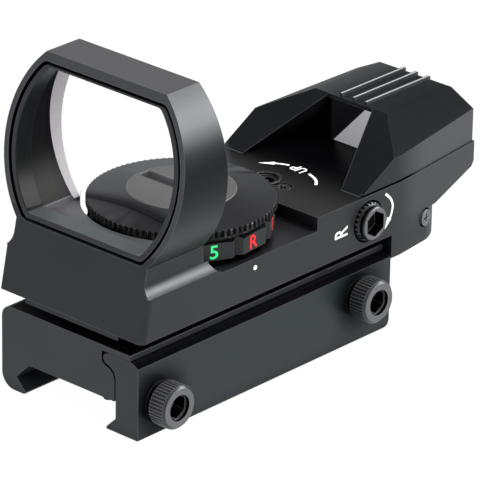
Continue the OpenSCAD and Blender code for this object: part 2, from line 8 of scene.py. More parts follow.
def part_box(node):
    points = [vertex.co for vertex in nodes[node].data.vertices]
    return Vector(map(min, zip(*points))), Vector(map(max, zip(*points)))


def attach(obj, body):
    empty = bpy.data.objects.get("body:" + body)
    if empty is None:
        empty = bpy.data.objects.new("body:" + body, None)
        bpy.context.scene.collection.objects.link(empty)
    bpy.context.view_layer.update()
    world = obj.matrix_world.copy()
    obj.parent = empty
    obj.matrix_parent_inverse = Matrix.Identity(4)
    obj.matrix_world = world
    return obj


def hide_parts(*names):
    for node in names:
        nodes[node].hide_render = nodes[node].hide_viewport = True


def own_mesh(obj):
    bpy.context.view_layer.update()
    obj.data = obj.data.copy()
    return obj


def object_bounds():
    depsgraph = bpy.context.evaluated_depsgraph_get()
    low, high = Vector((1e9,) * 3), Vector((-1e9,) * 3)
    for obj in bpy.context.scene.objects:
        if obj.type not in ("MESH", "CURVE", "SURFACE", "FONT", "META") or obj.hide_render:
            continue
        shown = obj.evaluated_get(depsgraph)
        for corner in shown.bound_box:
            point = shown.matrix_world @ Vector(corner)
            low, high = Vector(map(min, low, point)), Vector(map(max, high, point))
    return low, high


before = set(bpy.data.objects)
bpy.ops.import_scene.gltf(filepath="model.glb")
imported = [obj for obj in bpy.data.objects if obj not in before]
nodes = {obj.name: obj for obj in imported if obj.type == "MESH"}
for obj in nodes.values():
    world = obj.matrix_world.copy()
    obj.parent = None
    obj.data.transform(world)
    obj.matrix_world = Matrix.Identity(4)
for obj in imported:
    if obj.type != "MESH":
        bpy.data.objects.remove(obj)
cad_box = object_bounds()
MM = 0.001

# ---- camera ----------------------------------------------------------------
AZIMUTH, ELEVATION, ROLL = 42.036, 24.095, 0.981   # degrees
AIM = Vector((4.79, 33.98, 14.28)) * MM
DISTANCE = 0.7797
LENS = 375.45                                      # mm on a 36 mm sensor

# ---- places worked out from the frame --------------------------------------
dial_lo, dial_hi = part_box("dial")
DIAL_C = (dial_lo + dial_hi) / 2
SIDE_X = 15.05 * MM                                # outer face of the body
DECK_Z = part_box("hood")[0].z
PAD_R = 14.25 * MM                                 # flat face of the dial's grip pads
PAD_TURN = 5.5                                     # degrees from each detent position
POSITIONS = 12


def middle(node):
    """Centre of a node's box, in millimetres."""
    lo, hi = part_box(node)
    return (lo + hi) / 2 / MM


SCREW_AXES = {n: (middle(n).y, middle(n).z) for n in ("clamp_screw_front", "clamp_screw_rear")}
SCREW_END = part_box("clamp_screw_front")[1].x / MM
WIND_C = middle("windage_screw")
WIND_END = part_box("windage_screw")[1].x / MM
DIAL_R = (dial_hi.x - dial_lo.x) / 2 / MM
RIB_H = 0.4
RIB_STEP = 2.6
HOOD_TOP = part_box("hood")[1].z / MM - RIB_H
# Limits of the body's zones of painted light and shade, mm
RING_REAR = 15.8
RING_TOP = 47.0
RIM_LOW = 24.0
BORE_TOP = 46.2
WINDOW_Z = 34.6                                    # the window's axis
WALL_R = 17.75                                     # the bore's wall lies within this of the axis
SILL_Z = 22.05
DECK_FRONT = 40.4


# ---- node helpers ----------------------------------------------------------

class Shader:
    """A node tree being built: s("ShaderNodeX", input=value or socket, ...)."""

    def __init__(self, name):
        self.mat = bpy.data.materials.new(name)
        self.mat.use_nodes = True
        self.tree = self.mat.node_tree
        self.tree.nodes.clear()
        self.out = self.tree.nodes.new("ShaderNodeOutputMaterial")

    def __call__(self, kind, props=None, **inputs):
        n = self.tree.nodes.new(kind)
        for k, v in (props or {}).items():
            setattr(n, k, v)
        for k, v in inputs.items():
            self.set(n, k, v)
        return n

    def set(self, n, key, v):
        name = key.replace("_", " ")
        sock = n.inputs[int(key[1:])] if key[0] == "i" and key[1:].isdigit() else n.inputs[name]
        if isinstance(v, bpy.types.Node):
            v = v.outputs[0]
        if isinstance(v, bpy.types.NodeSocket):
            self.tree.links.new(v, sock)
        else:
            sock.default_value = v

    def math(self, op, a, b=0.0, c=0.0, clamp=False):
        return self("ShaderNodeMath", {"operation": op, "use_clamp": clamp}, i0=a, i1=b, i2=c)

    def mix(self, fac, a, b):
        """Blend of two colours."""
        n = self("ShaderNodeMix", {"data_type": "RGBA"})
        self.set(n, "i0", fac)
        self.set(n, "i6", a)
        self.set(n, "i7", b)
        return n.outputs[2]

    def ramp(self, v, lo, hi, to_lo=0.0, to_hi=1.0, smooth=False):
        kind = "SMOOTHSTEP" if smooth else "LINEAR"
        return self("ShaderNodeMapRange", {"clamp": True, "interpolation_type": kind},
                    i0=v, i1=lo, i2=hi, i3=to_lo, i4=to_hi)

    def ease(self, v, lo, hi):
        """Smooth step from 0 at lo to 1 at hi."""
        return self.ramp(v, lo, hi, 0.0, 1.0, True)

    def coords(self):
        return self("ShaderNodeTexCoord").outputs["Object"]

    def place(self):
        """Object position's x, y and z, in millimetres."""
        mm = self("ShaderNodeVectorMath", {"operation": "SCALE"}, i0=self.coords(), Scale=1000.0)
        return self("ShaderNodeSeparateXYZ", i0=mm).outputs

    def facing(self, axis):
        """The true normal's part along an axis."""
        normal = self("ShaderNodeNewGeometry").outputs["True Normal"]
        return self("ShaderNodeSeparateXYZ", i0=normal).outputs[axis]

    def both(self, *masks):
        """Product of masks."""
        out = masks[0]
        for m in masks[1:]:
            out = self.math("MULTIPLY", out, m)
        return out

    def radius(self, a, a0, b, b0):
        """Distance from the line a = a0, b = b0."""
        da, db = self.math("SUBTRACT", a, a0), self.math("SUBTRACT", b, b0)
        squares = self.math("MULTIPLY", da, da), self.math("MULTIPLY", db, db)
        return self.math("SQRT", self.math("ADD", *squares))

    def surface(self, shader):
        self.tree.links.new(shader.outputs[0], self.out.inputs["Surface"])
        return self.mat


def rgb(r, g, b, a=1.0):
    return (r, g, b, a)


def edge_mask(s, radius, samples=4):
    """1 on rounded edges, 0 on flats."""
    geo = s("ShaderNodeNewGeometry")
    bev = s("ShaderNodeBevel", {"samples": samples}, Radius=radius)
    dot = s("ShaderNodeVectorMath", {"operation": "DOT_PRODUCT"}, i0=bev, i1=geo.outputs["Normal"])
    return s.ramp(dot.outputs["Value"], 0.995, 0.80)


def machined(name, base, rough=0.34, ior=1.6, grain=5200, bump=0.1, edge_wear_and_glint=0.35, shade=None, thread=None,
             turned=None, reach=4.0):
    """Anodised or blackened metal: blasted grain, faint cloudiness, edges lightened partly as wear and partly
    as painted highlight.

    Corners and gaps narrower than reach (mm) get painted shade: near black, with dimmer reflections.
    """
    s = Shader(name)
    p = s.coords()
    at = s.place()
    fine = s("ShaderNodeTexNoise", Vector=p, Scale=grain, Detail=2.0, Roughness=0.6)
    cloud = s("ShaderNodeTexNoise", Vector=p, Scale=70.0, Detail=4.0, Roughness=0.55)
    col = s.mix(s.ramp(cloud, 0.35, 0.65), rgb(*[c * 0.90 for c in base]), rgb(*[c * 1.10 for c in base]))
    spec = 0.5
    if shade:
        col, spec = shade(s, at, col)
    # painted shade: corners and gaps go near black, and their reflections dim
    open_sky = s("ShaderNodeAmbientOcclusion", {"samples": 6}, Distance=reach * MM).outputs["AO"]
    unshaded = s.ramp(open_sky, 0.25, 0.85)
    col = s.mix(unshaded, rgb(0.0015, 0.0015, 0.002), col)
    spec = s.math("MULTIPLY", s.ramp(open_sky, 0.15, 0.7, 0.12, 1.0), spec)
    # edges lightened, partly wear and partly a painted highlight
    edge = edge_mask(s, 0.00018)
    col = s.mix(s.math("MULTIPLY", edge, edge_wear_and_glint), col, rgb(*[min(1.0, c * 5 + 0.14) for c in base]))
    rgh = s.ramp(cloud, 0.3, 0.7, rough - 0.03, rough + 0.04)
    normal = s("ShaderNodeBump", Strength=bump, Distance=0.00003, Height=fine.outputs[0])
    if thread:
        # thread of a socket, on the walls nearer the axis than radius and below x_end
        (y0, z0), radius, pitch, x_end = thread
        turn = s.math("ARCTAN2", s.math("SUBTRACT", at["Z"], z0), s.math("SUBTRACT", at["Y"], y0))
        angle = s.math("DIVIDE", turn, 2 * math.pi)
        wave = s.math("PINGPONG", s.math("ADD", s.math("DIVIDE", at["X"], pitch), angle), 0.5)
        mask = s.both(s.math("LESS_THAN", s.radius(at["Y"], y0, at["Z"], z0), radius),
                      s.math("LESS_THAN", at["X"], x_end))
        normal = s("ShaderNodeBump", Strength=1.0, Distance=0.0005, Height=s.math("MULTIPLY", wave, mask),
                   Normal=normal)
    if turned:
        # fine lathe rings round a vertical axis
        (x0, y0), step = turned
        rings = s.math("SINE", s.math("DIVIDE", s.radius(at["X"], x0, at["Y"], y0), step / (2 * math.pi)))
        normal = s("ShaderNodeBump", Strength=0.25, Distance=0.00002, Height=rings, Normal=normal)
    bsdf = s("ShaderNodeBsdfPrincipled", Base_Color=col, Roughness=rgh, IOR=ior, Normal=normal)
    s.set(bsdf, "Specular IOR Level", spec)
    return s.surface(bsdf)


def metal(name, colour, rough=0.3, stretch=(1.0, 1.0, 1.0), bump=0.1):
    """Bare metal with brushed or drawn streaks."""
    s = Shader(name)
    p = s("ShaderNodeMapping", Vector=s.coords(), Scale=stretch)
    streak = s("ShaderNodeTexNoise", Vector=p, Scale=3000.0, Detail=3.0)
    stain = s("ShaderNodeTexNoise", Vector=s.coords(), Scale=220.0, Detail=3.0)
    col = s.mix(s.ramp(stain, 0.3, 0.7), rgb(*[c * 0.85 for c in colour]), rgb(*colour))
    normal = s("ShaderNodeBump", Strength=bump, Distance=0.00002, Height=streak)
    bsdf = s("ShaderNodeBsdfPrincipled", Base_Color=col, Metallic=1.0,
             Roughness=s.ramp(streak, 0.3, 0.7, rough - 0.06, rough + 0.1), Normal=normal)
    return s.surface(bsdf)


def plastic(name, colour, rough=0.4, scale=900.0, bump=0.15, spec=1.5, vary=0.15):
    """Moulded plastic or enamel: a fine pebbled skin and slight colour drift."""
    s = Shader(name)
    p = s.coords()
    skin = s("ShaderNodeTexVoronoi", Vector=p, Scale=scale * 3)
    drift = s("ShaderNodeTexNoise", Vector=p, Scale=scale / 5, Detail=3.0)
    dark, light = ([min(1.0, c * (1 + v)) for c in colour] for v in (-vary, vary))
    col = s.mix(s.ramp(drift, 0.3, 0.7), rgb(*dark), rgb(*light))
    normal = s("ShaderNodeBump", Strength=bump, Distance=0.00003, Height=skin)
    rgh = s.ramp(drift, 0.3, 0.7, rough - 0.05, rough + 0.06)
    bsdf = s("ShaderNodeBsdfPrincipled", Base_Color=col, Roughness=rgh, IOR=spec, Normal=normal)
    return s.surface(bsdf)


def lens_glass(name, ground_x):
    """Clear coated plate with a faint painted sheen; its ground edge, lit by a painted glow, shows up to
    ground_x, and blends away beyond.
    """
    s = Shader(name)
    face = s.math("GREATER_THAN", s.math("ABSOLUTE", s.facing("Y")), 0.8)
    noise = s("ShaderNodeTexNoise", Vector=s.coords(), Scale=2500.0, Detail=2.0)
    frosted = s("ShaderNodeBsdfPrincipled", Roughness=0.6,
                Base_Color=s.mix(s.ramp(noise, 0.3, 0.7), rgb(0.26, 0.25, 0.26), rgb(0.32, 0.31, 0.32)))
    # painted light: the ground edge glows faintly
    frosted.inputs["Emission Color"].default_value = rgb(0.46, 0.43, 0.45)
    frosted.inputs["Emission Strength"].default_value = 0.42
    clear = s("ShaderNodeBsdfTransparent", Color=rgb(1.0, 1.0, 1.0))
    at = s.place()
    # The bottom edge would show through the glass in front of the dial, so only the side edge is ground
    upright = s.ramp(s.math("ABSOLUTE", s.facing("X")), 0.45, 0.30)
    near = s.math("MAXIMUM", s.ramp(at["X"], ground_x, ground_x + 1.0), upright)
    ground = s("ShaderNodeMixShader", i0=near, i1=frosted, i2=clear)
    pane = s("ShaderNodeBsdfTransparent", Color=rgb(0.985, 0.985, 0.985))
    coat = s("ShaderNodeBsdfGlossy", Color=rgb(0.75, 0.72, 0.85), Roughness=0.02)
    # painted sheen: a faint glow mixed in with the coat's reflection
    painted_sheen = s("ShaderNodeEmission", Color=rgb(0.9, 0.92, 1.0), Strength=1.0)
    shine = s("ShaderNodeMixShader", i0=0.5, i1=coat, i2=painted_sheen)
    glass = s("ShaderNodeMixShader", i0=s.ramp(noise, 0.0, 1.0, 0.022, 0.028), i1=pane, i2=shine)
    return s.surface(s("ShaderNodeMixShader", i0=face, i1=ground, i2=glass))


def smoked_window(name, lo, hi):
    """Glossy dark pane in front of the emitter; across one diagonal half, a painted reflection of glare,
    lighter towards the top.
    """
    s = Shader(name)
    xyz = s("ShaderNodeSeparateXYZ", i0=s.coords())
    a = (-3.84 * MM, DECK_Z)
    b = (2.6 * MM, 26.1 * MM)
    across = s.math("SUBTRACT",
                    s.math("MULTIPLY", s.math("SUBTRACT", xyz.outputs["X"], a[0]), b[1] - a[1]),
                    s.math("MULTIPLY", s.math("SUBTRACT", xyz.outputs["Z"], a[1]), b[0] - a[0]))
    lit = s.ramp(s.math("MULTIPLY", across, 1e6), -0.5, 0.5)
    noise = s("ShaderNodeTexNoise", Vector=s.coords(), Scale=900.0, Detail=2.0)
    dark = s("ShaderNodeBsdfPrincipled", Base_Color=rgb(0.008, 0.008, 0.01),
             Roughness=s.ramp(noise, 0.3, 0.7, 0.05, 0.12))
    # painted reflection: a glow, lighter towards the top, stands in for the mirrored glare
    height = s.ramp(xyz.outputs["Z"], lo.z, hi.z)
    glow = s.mix(height, rgb(0.27, 0.27, 0.285), rgb(0.36, 0.355, 0.38))
    glare = s("ShaderNodeEmission", Color=glow, Strength=1.0)
    return s.surface(s("ShaderNodeMixShader", i0=lit, i1=dark, i2=glare))


def glowing_dome(name):
    """Clear red dome, darker at its rim."""
    s = Shader(name)
    fres = s("ShaderNodeLayerWeight", Blend=0.4)
    col = s.mix(fres.outputs["Facing"], rgb(0.9, 0.06, 0.04), rgb(0.35, 0.01, 0.01))
    bsdf = s("ShaderNodeBsdfPrincipled", Base_Color=col, Roughness=0.12, Coat_Weight=0.6)
    return s.surface(bsdf)


def circuit_board(name):
    """Green solder mask with a grid of copper tracks under it."""
    s = Shader(name)
    p = s.coords()
    lines = s("ShaderNodeTexBrick", Vector=p, Scale=420.0, Color1=rgb(0.015, 0.10, 0.04),
              Color2=rgb(0.02, 0.14, 0.055), Mortar=rgb(0.05, 0.24, 0.10))
    lines.inputs["Mortar Size"].default_value = 0.03
    dust = s("ShaderNodeTexNoise", Vector=p, Scale=1500.0)
    normal = s("ShaderNodeBump", Strength=0.2, Distance=0.00003, Height=lines.outputs["Fac"])
    bsdf = s("ShaderNodeBsdfPrincipled", Base_Color=lines.outputs["Color"],
             Roughness=s.ramp(dust, 0.3, 0.7, 0.25, 0.4), Normal=normal)
    return s.surface(bsdf)


def paint(name, colour):
    """Printed ink: slightly uneven cover, a soft sheen and a faint painted glow."""
    s = Shader(name)
    n = s("ShaderNodeTexNoise", Vector=s.coords(), Scale=2600.0, Detail=3.0)
    col = s.mix(s.ramp(n, 0.3, 0.7), rgb(*[c * 0.9 for c in colour]), rgb(*colour))
    bsdf = s("ShaderNodeBsdfPrincipled", Base_Color=col, Roughness=0.45,
             Normal=s("ShaderNodeBump", Strength=0.15, Distance=0.00001, Height=n))
    # painted light: a faint glow in the ink's own colour
    bsdf.inputs["Emission Color"].default_value = rgb(*colour)
    bsdf.inputs["Emission Strength"].default_value = 0.35
    return s.surface(bsdf)


# ---- materials on the CAD nodes ---------------------------------------------

BODY = (0.019, 0.0195, 0.022)
# near black, for painted shade in grooves and gaps
SHADE_BLACK = (0.002, 0.002, 0.002)


def body_shade(s, at, col):
    """Painted light and shade on the body: shade on the frame's sides, the bore wall and the deck by the
    hood; light on the ring top, rim, rear sides and sill; dimmer reflections in the shade.
    """
    up, out = s.facing("Z"), s.math("ABSOLUTE", s.facing("X"))
    # painted shade: a near-black band on the frame's sides
    frame_side_shade = s.math("SUBTRACT", s.ease(at["Z"], 23.0, 33.0), s.ease(at["Z"], 37.0, 44.5), clamp=True)
    frame_side_shade = s.both(frame_side_shade, s.ramp(out, 0.2, 0.4))
    col = s.mix(frame_side_shade, col, rgb(0.005, 0.0055, 0.007))
    # painted light on the ring's top
    ring_top_light = s.both(s.math("GREATER_THAN", at["Z"], RING_TOP), s.ramp(up, 0.6, 0.9))
    col = s.mix(ring_top_light, col, rgb(0.060, 0.059, 0.063))
    # painted light on the rim's front faces
    rim = s.both(s.ramp(s.facing("Y"), -0.6, -0.9), s.math("GREATER_THAN", at["Z"], RIM_LOW))
    col = s.mix(rim, col, rgb(0.040, 0.041, 0.045))
    # painted light on the rear sides, growing to the rear
    rear = s.both(s.ramp(out, 0.4, 0.8), s.ease(at["Y"], 59.5, 65.0),
                  s.ramp(at["Z"], 9.0, 14.0, 0.2, 1.0, True))
    col = s.mix(rear, col, rgb(0.046, 0.0465, 0.050))
    # painted shade on the bore wall, olive low down
    inward = s.math("LESS_THAN", s.math("ABSOLUTE", s.facing("Y")), 0.5)
    wall = s.both(s.math("LESS_THAN", s.radius(at["X"], 0.0, at["Z"], WINDOW_Z), WALL_R), inward,
                  s.math("GREATER_THAN", at["Z"], SILL_Z + 0.55), s.math("LESS_THAN", at["Z"], BORE_TOP),
                  s.math("LESS_THAN", at["Y"], RING_REAR))
    bore_wall_shade_col = s.mix(s.ramp(at["Z"], 34.0, 25.0), rgb(0.006, 0.006, 0.0075), rgb(0.008, 0.0078, 0.005))
    col = s.mix(wall, col, bore_wall_shade_col)
    # painted light, teal grey, on the sill
    sill = s.both(s.math("LESS_THAN", at["Y"], RING_REAR - 0.2), s.ramp(up, 0.7, 0.9),
                  s.math("LESS_THAN", s.math("ABSOLUTE", s.math("SUBTRACT", at["Z"], SILL_Z)), 0.4))
    col = s.mix(sill, col, rgb(0.12, 0.12, 0.125))
    # painted shade on the deck, darkening towards the hood
    deck = s.both(s.ramp(up, 0.7, 0.9), s.math("GREATER_THAN", at["Y"], DECK_FRONT),
                  s.math("GREATER_THAN", at["Z"], DECK_Z / MM - 0.3))
    hood_shadow = s.ease(at["Y"], 42.0, 57.0)
    col = s.mix(deck, col, s.mix(hood_shadow, rgb(0.018, 0.018, 0.0165), rgb(0.0015, 0.0015, 0.002)))
    # painted shade: dimmer reflections on the bore wall, frame sides and deck
    dull = s.math("MAXIMUM", s.math("MULTIPLY", wall, 0.42), s.math("MULTIPLY", frame_side_shade, 0.20))
    dull = s.math("ADD", dull, s.both(deck, s.ramp(hood_shadow, 0.0, 1.0, 0.2, 0.46)), clamp=True)
    return col, s.math("SUBTRACT", 0.5, dull, clamp=True)


def bezel_shade(s, at, col):
    """Painted light on the front faces, and teal grey on the sill; painted shade, olive low down, on the left
    wall; near black elsewhere inside.
    """
    # painted light on the front faces
    col = s.mix(s.ramp(s.facing("Y"), -0.5, -0.9), col, rgb(0.022, 0.023, 0.026))
    # painted light, teal grey, on the sill
    sill = s.both(s.ramp(s.facing("Z"), 0.6, 0.9), s.ramp(at["Z"], 24.2, 23.6))
    col = s.mix(sill, col, rgb(0.10, 0.115, 0.122))
    # painted shade on the left wall, olive low down, with dimmer reflections
    left = s.both(s.ramp(at["X"], -8.0, -12.0), s.ramp(s.facing("X"), 0.2, 0.5))
    low = s.ramp(at["Z"], 34.0, 25.0)
    dark = s.mix(low, rgb(0.010, 0.0105, 0.0125), rgb(0.010, 0.0098, 0.0065))
    return s.mix(left, col, dark), s.math("SUBTRACT", 0.5, s.math("MULTIPLY", left, 0.4))


def hood_shade(s, at, col):
    """Painted highlight: a thin bright line on each rib, with painted shade beside it; painted light on sides
    that lighten to the rear; painted shade on the slopes, and dimmer reflections on the top and slopes.
    """
    up, out = s.facing("Z"), s.math("ABSOLUTE", s.facing("X"))
    # painted light on the sides, growing to the rear
    side = s.both(s.ramp(out, 0.75, 0.95), s.ease(at["Y"], 58.5, 68.0))
    col = s.mix(side, col, rgb(0.066, 0.067, 0.071))
    # painted shade on the slopes
    slope_shade = s.both(s.ramp(out, 0.2, 0.4), s.ramp(up, 0.5, 0.7))
    col = s.mix(slope_shade, col, rgb(0.013, 0.0133, 0.015))
    # The ribs are evenly spaced about the middle, so one folded distance serves all three
    to_rib = s.math("ABSOLUTE", s.math("WRAP", at["X"], RIB_STEP / 2, -RIB_STEP / 2))
    # painted highlight on each rib's crest, painted shade beside it
    rib = s.both(s.math("GREATER_THAN", at["Z"], HOOD_TOP + 0.3), s.ramp(up, 0.5, 0.95))
    rib_glint_and_shade = s.mix(s.ramp(to_rib, 0.12, 0.20), rgb(0.42, 0.42, 0.43), rgb(0.004, 0.004, 0.005))
    col = s.mix(rib, col, rib_glint_and_shade)
    # painted shade: dimmer reflections on the top and slopes
    return col, s.ramp(up, 0.3, 0.6, 0.5, 0.10)


def mount_shade(s, at, col):
    """Painted shade: top faces, mostly under the body, near black, with dimmer reflections."""
    # painted shade on the top faces
    top = s.both(s.ramp(s.facing("Z"), 0.7, 0.95), s.math("GREATER_THAN", at["Z"], 8.3))
    col = s.mix(top, col, rgb(0.002, 0.002, 0.003))
    return col, s.math("SUBTRACT", 0.5, s.math("MULTIPLY", top, 0.45))


def knurl_shade(y0, z0, outer, x_face):
    """Shader part for a head along X: knurl grooves painted black as shade, and a lighter turned face."""
    def shade(s, at, col):
        # painted shade in the knurl grooves, with dimmer reflections
        groove_shade = s.both(s.ramp(s.radius(at["Y"], y0, at["Z"], z0), outer - 0.02, outer - 0.12),
                        s.math("LESS_THAN", s.math("ABSOLUTE", s.facing("X")), 0.4))
        col = s.mix(groove_shade, col, rgb(*SHADE_BLACK))
        face = s.both(s.math("GREATER_THAN", at["X"], x_face - 0.1), s.ramp(s.facing("X"), 0.5, 0.95))
        col = s.mix(face, col, rgb(0.13, 0.13, 0.135))
        return col, s.math("SUBTRACT", 0.5, s.math("MULTIPLY", groove_shade, 0.4))
    return shade


def dial_shade(s, at, col):
    """Painted shade, black, between the rim's fine teeth; painted light on a top that lightens towards the
    left, with dimmer reflections.
    """
    r = s.radius(at["X"], 0.0, at["Y"], DIAL_C.y / MM)
    # painted shade between the rim's teeth
    tooth_gap_shade = s.both(s.ramp(r, DIAL_R - 0.03, DIAL_R - 0.15),
                       s.math("LESS_THAN", s.math("ABSOLUTE", s.facing("Z")), 0.3),
                       s.math("GREATER_THAN", at["Z"], 21.4))
    # painted light on the top, growing towards the left
    cone_light = s.both(s.ramp(s.facing("Z"), 0.7, 0.9), s.ease(at["X"], 4.0, -9.0))
    col = s.mix(cone_light, col, rgb(0.036, 0.036, 0.038))
    # painted shade: dimmer reflections on the top
    return s.mix(tooth_gap_shade, col, rgb(*SHADE_BLACK)), s.ramp(s.facing("Z"), 0.6, 0.9, 0.5, 0.25)


def clamp_shade(s, at, col):
    """Faint teal behind the front end; painted shade, near black, along the top and round the screw heads."""
    col = s.mix(s.ease(at["Y"], 4.0, 14.0), col, rgb(0.015, 0.020, 0.0225))
    # painted shade along the top
    top = s.both(s.ramp(s.facing("Z"), 0.6, 0.9), s.math("GREATER_THAN", at["Z"], 5.0))
    # painted shadow round the screw heads
    near = s.math("MINIMUM", *[s.radius(at["Y"], c[0], at["Z"], c[1]) for c in SCREW_AXES.values()])
    shadow = s.both(s.ramp(near, 7.5, 3.4, 0.0, 0.75, True), s.ramp(s.facing("X"), 0.5, 0.9))
    # painted shade: near black, with dimmer reflections
    dark = s.math("MAXIMUM", top, shadow)
    return s.mix(dark, col, rgb(0.002, 0.002, 0.003)), s.math("SUBTRACT", 0.5, s.math("MULTIPLY", dark, 0.45))


body_mat = machined("anodised_body", BODY, shade=body_shade)
mount_mat = machined("anodised_mount", BODY, shade=mount_shade)
hood_mat = machined("anodised_hood", (0.009, 0.0095, 0.011), shade=hood_shade)
clamp_mat = machined("anodised_clamp", (0.017, 0.0175, 0.020), shade=clamp_shade)
bezel_mat = machined("blackened_bezel", (0.010, 0.011, 0.013), rough=0.30, edge_wear_and_glint=0.5, shade=bezel_shade,
                     reach=0.8)
dial_mat = machined("dial_finish", (0.016, 0.016, 0.017), rough=0.4, grain=7000, bump=0.15, edge_wear_and_glint=0.3,
                    shade=dial_shade, reach=2.5)
cap_mat = machined("cap_finish", (0.082, 0.081, 0.078), rough=0.4, grain=7000, bump=0.15, edge_wear_and_glint=0.9,
                   turned=((0.0, DIAL_C.y / MM), 0.35), reach=2.0)
clamp_screw_mats = {
    n: machined("oxide_" + n, (0.020, 0.0205, 0.022), rough=0.28, edge_wear_and_glint=1.0,
                shade=knurl_shade(*c, 3.6, SCREW_END), thread=(c, 2.03, 0.7, 15.0), reach=2.0)
    for n, c in SCREW_AXES.items()}
adjuster_mat = machined("oxide_adjuster", (0.012, 0.012, 0.012), rough=0.26, edge_wear_and_glint=1.0, reach=2.0)
windage_mat = machined("oxide_windage", (0.012, 0.012, 0.012), rough=0.26, edge_wear_and_glint=1.0, reach=2.0,
                       shade=knurl_shade(WIND_C.y, WIND_C.z, 3.24, WIND_END))
lock_mat = machined("zinc_lock", (0.12, 0.12, 0.123), rough=0.28, edge_wear_and_glint=0.9, reach=1.5)
pin_mat = metal("ground_steel", (0.55, 0.55, 0.56), 0.28, (1.0, 1.0, 6.0))
spring_mat = metal("drawn_wire", (0.62, 0.62, 0.63), 0.25)
brass_mat = metal("plated_contact", (0.85, 0.66, 0.30), 0.25)
cell_mat = metal("cell_can", (0.74, 0.74, 0.75), 0.22, (1.0, 1.0, 0.2))
board_mat = circuit_board("solder_mask")
block_mat = plastic("emitter_moulding", (0.012, 0.012, 0.013), 0.5)
film_mat = plastic("reticle_film", (0.22, 0.10, 0.04), 0.2, bump=0.05)
wire_mat = plastic("wire_insulation", (0.35, 0.02, 0.015), 0.45)

BEVEL = 0.14 * MM
DRESS = {
    "mount_base": (mount_mat, BEVEL), "clamp_plate": (clamp_mat, BEVEL),
    "clamp_screw_front": (clamp_screw_mats["clamp_screw_front"], 0.05 * MM),
    "clamp_screw_rear": (clamp_screw_mats["clamp_screw_rear"], 0.05 * MM),
    "yaw_pin": (pin_mat, 0), "hold_down_screw": (pin_mat, 0), "pivot_yoke": (mount_mat, 0.15 * MM),
    "pitch_pin": (pin_mat, 0), "housing": (body_mat, BEVEL), "lens_bezel": (bezel_mat, 0.15 * MM),
    "lens": (lens_glass("coated_lens", -5.0), 0), "hood": (hood_mat, BEVEL), "hood_screw": (adjuster_mat, 0),
    "bottom_cover": (mount_mat, 0.15 * MM), "cover_screw": (pin_mat, 0), "switch_board": (board_mat, 0),
    "dial": (dial_mat, 0.03 * MM), "dial_clip": (pin_mat, 0), "battery": (cell_mat, 0.12 * MM),
    "battery_cap": (cap_mat, 0.12 * MM), "detent_ball": (pin_mat, 0),
    "windage_screw": (windage_mat, 0.05 * MM), "windage_plunger": (pin_mat, 0),
    "elevation_screw": (adjuster_mat, 0.08 * MM), "elevation_plunger": (pin_mat, 0),
    "elevation_lock": (adjuster_mat, 0.05 * MM), "windage_lock": (lock_mat, 0.05 * MM),
    "emitter_block": (block_mat, 0.1 * MM),
    "emitter_window": (smoked_window("smoked_pane", *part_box("emitter_window")), 0),
    "reticle_disc": (film_mat, 0), "led": (glowing_dome("led_dome"), 0), "led_board": (board_mat, 0),
    "led_wires": (wire_mat, 0),
}


def dress(name, mat, bevel):
    """Give a CAD node its material and, with modifiers only, softly rounded edges."""
    o = nodes[name]
    for slot in o.material_slots:
        slot.material = mat
    if bevel:
        weld = o.modifiers.new("weld", "WELD")
        weld.merge_threshold = 2e-6
        flat = o.modifiers.new("flat", "DECIMATE")
        flat.decimate_type = "DISSOLVE"
        flat.angle_limit = math.radians(0.6)
        bev = o.modifiers.new("bevel", "BEVEL")
        bev.width = bevel
        bev.segments = 2
        bev.limit_method = "ANGLE"
        bev.angle_limit = math.radians(28)
        bev.use_clamp_overlap = True
        bev.harden_normals = False
        wn = o.modifiers.new("normals", "WEIGHTED_NORMAL")
        wn.weight = 100
        wn.keep_sharp = False


for node_name, (mat, width) in DRESS.items():
    dress(node_name, mat, width)


# ---- pieces ------------------------------------------------------------------

def add_mesh(name, verts, faces, mat, body, slot_name, smooth=False):
    """A new piece from points and faces, riding on a body."""
    me = bpy.data.meshes.new(name)
    me.from_pydata([tuple(v) for v in verts], [], faces)
    me.update()
    o = bpy.data.objects.new(name, me)
    bpy.context.scene.collection.objects.link(o)
    me.materials.append(mat)
    if smooth:
        me.polygons.foreach_set("use_smooth", [True] * len(me.polygons))
    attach(o, body)
    return o


def tube(path, radius, sides=10):
    """Verts and faces of a capped tube along a list of points."""
    verts, faces = [], []
    up = Vector((0.13, 0.29, 0.95)).normalized()
    for i, p in enumerate(path):
        t = (path[min(i + 1, len(path) - 1)] - path[max(i - 1, 0)]).normalized()
        u = t.cross(up).normalized() if abs(t.dot(up)) < 0.98 else t.orthogonal().normalized()
        w = t.cross(u)
        for k in range(sides):
            a = 2 * math.pi * k / sides
            verts.append(p + (u * math.cos(a) + w * math.sin(a)) * radius)
    for i in range(len(path) - 1):
        for k in range(sides):
            a, b = i * sides + k, i * sides + (k + 1) % sides
            faces.append((a, b, b + sides, a + sides))
    faces.append(tuple(range(sides))[::-1])
    faces.append(tuple(range(len(verts) - sides, len(verts))))
    return verts, faces


def coil_path(length, wire, radius, turns, end_radius=None, steps=28):
    """Helix along +Z with closed end coils."""
    end_radius = radius if end_radius is None else end_radius
    closed = 0.8
    total = turns + 2 * closed
    pts = []
    n = int(total * steps)
    run = length - 2 * wire
    for i in range(n + 1):
        t = total * i / n
        if t < closed:
            z = t / closed * wire * 2 * 0.95
        elif t > total - closed:
            z = run - (total - t) / closed * wire * 2 * 0.95
        else:
            lo, hi = wire * 1.9, run - wire * 1.9
            z = lo + (hi - lo) * (t - closed) / turns
        r = radius + (end_radius - radius) * z / run
        pts.append(Vector((r * math.cos(2 * math.pi * t), r * math.sin(2 * math.pi * t), z + wire)))
    return pts


